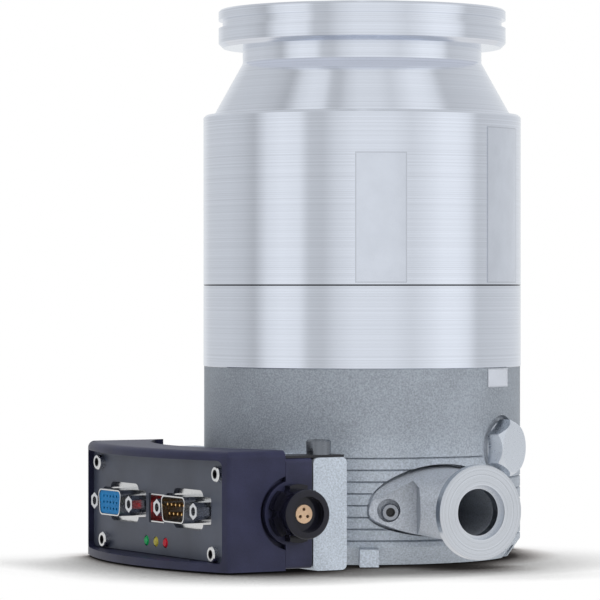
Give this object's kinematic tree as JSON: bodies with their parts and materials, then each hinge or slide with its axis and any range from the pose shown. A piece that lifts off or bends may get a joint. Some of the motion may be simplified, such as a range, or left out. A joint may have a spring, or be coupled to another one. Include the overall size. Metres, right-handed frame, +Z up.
{
  "type": "turbomolecular pump",
  "caption": "Upright vacuum pump with a clamp inlet flange on top, a small side outlet flange, a purge plug and a box of drive electronics on the side.",
  "frame": {"origin": "pump axis at the underside of the base casting", "axes": "+Z up the pump axis to the inlet, -Y to the foreline port, -X to the drive electronics"},
  "size_m": [0.1495, 0.1275, 0.18],
  "materials": {
    "machined_housing": "turned, satin",
    "cast_base": "blasted casting",
    "hood_paint": "satin slate paint",
    "housing_dark": "satin slate paint",
    "panel_paint": "satin slate grey",
    "black_plate": "black anodised",
    "steel_screws": "bright",
    "washer_metal": "plain",
    "seal_rubber": "matt",
    "star_metal": "machined",
    "rotor_metal": "milled",
    "drum_composite": "wound carbon fibre",
    "shaft_steel": "ground",
    "magnet_rings": "plated",
    "core_steel": "laminated",
    "winding_copper": "varnished copper",
    "cage_plastic": "fibre resin",
    "ball_ceramic": "polished",
    "connector_metal": "tin plated",
    "insert_blue": "moulded",
    "insert_black": "moulded",
    "pin_gold": "gilt",
    "insert_red": "moulded",
    "insert_beige": "moulded",
    "lamp_green": "clear tinted",
    "lamp_yellow": "clear tinted",
    "lamp_red": "clear tinted",
    "board_green": "printed board",
    "capacitor_can": "can"
  },
  "bodies": {
    "pump_body": {"base_casting": "cast_base", "bearing_cover": "star_metal", "bearing_holder": "star_metal", "bearing_outer_race": "shaft_steel", "bearing_star": "star_metal", "board_capacitors": "capacitor_can", "circuit_boards": "board_green", "clamp_plate": "black_plate", "clamp_screw": "steel_screws", "cover_screws": "steel_screws", "damper_rings": "seal_rubber", "data_insert_far": "insert_blue", "data_insert_near": "insert_black", "data_pins": "pin_gold", "data_shell_far": "connector_metal", "data_shell_near": "connector_metal", "drag_housing_ring": "machined_housing", "drag_stator": "star_metal", "drive_gasket": "seal_rubber", "drive_hood": "hood_paint", "drive_housing": "housing_dark", "fixed_magnet_rings": "magnet_rings", "foreline_port": "cast_base", "front_panel": "panel_paint", "housing_seals": "seal_rubber", "inlet_housing": "machined_housing", "jack_screws": "steel_screws", "led_green": "lamp_green", "led_red": "lamp_red", "led_yellow": "lamp_yellow", "motor_core": "core_steel", "motor_feedthrough": "insert_beige", "motor_windings": "winding_copper", "panel_screws": "steel_screws", "port_screws": "steel_screws", "port_seal": "seal_rubber", "power_socket": "black_plate", "purge_plug": "steel_screws", "purge_washer": "washer_metal", "socket_insert": "insert_beige", "socket_nut": "black_plate", "spacer_rings": "star_metal", "stator_discs": "star_metal", "tie_screws": "steel_screws", "usb_insert": "insert_red", "usb_shell": "connector_metal"},
    "rotor": {"bladed_rotor": "rotor_metal", "drag_drum": "drum_composite", "shaft": "shaft_steel", "motor_magnet": "magnet_rings", "turning_magnet_rings": "magnet_rings", "bearing_inner_race": "shaft_steel"},
    "ball_set": {"ball_cage": "cage_plastic", "bearing_balls": "ball_ceramic"}
  },
  "joints": [
    {"name": "rotor_spin", "type": "hinge", "parent": "pump_body", "child": "rotor", "pos_m": [0, 0, 0.1], "axis": [0, 0, 1], "continuous": true},
    {"name": "cage_spin", "type": "hinge", "parent": "pump_body", "child": "ball_set", "pos_m": [0, 0, 0.0133], "axis": [0, 0, 1], "continuous": true}
  ],
  "couplings": [
    {"joint": "cage_spin", "follows": "rotor_spin", "ratio": 0.3733}
  ]
}
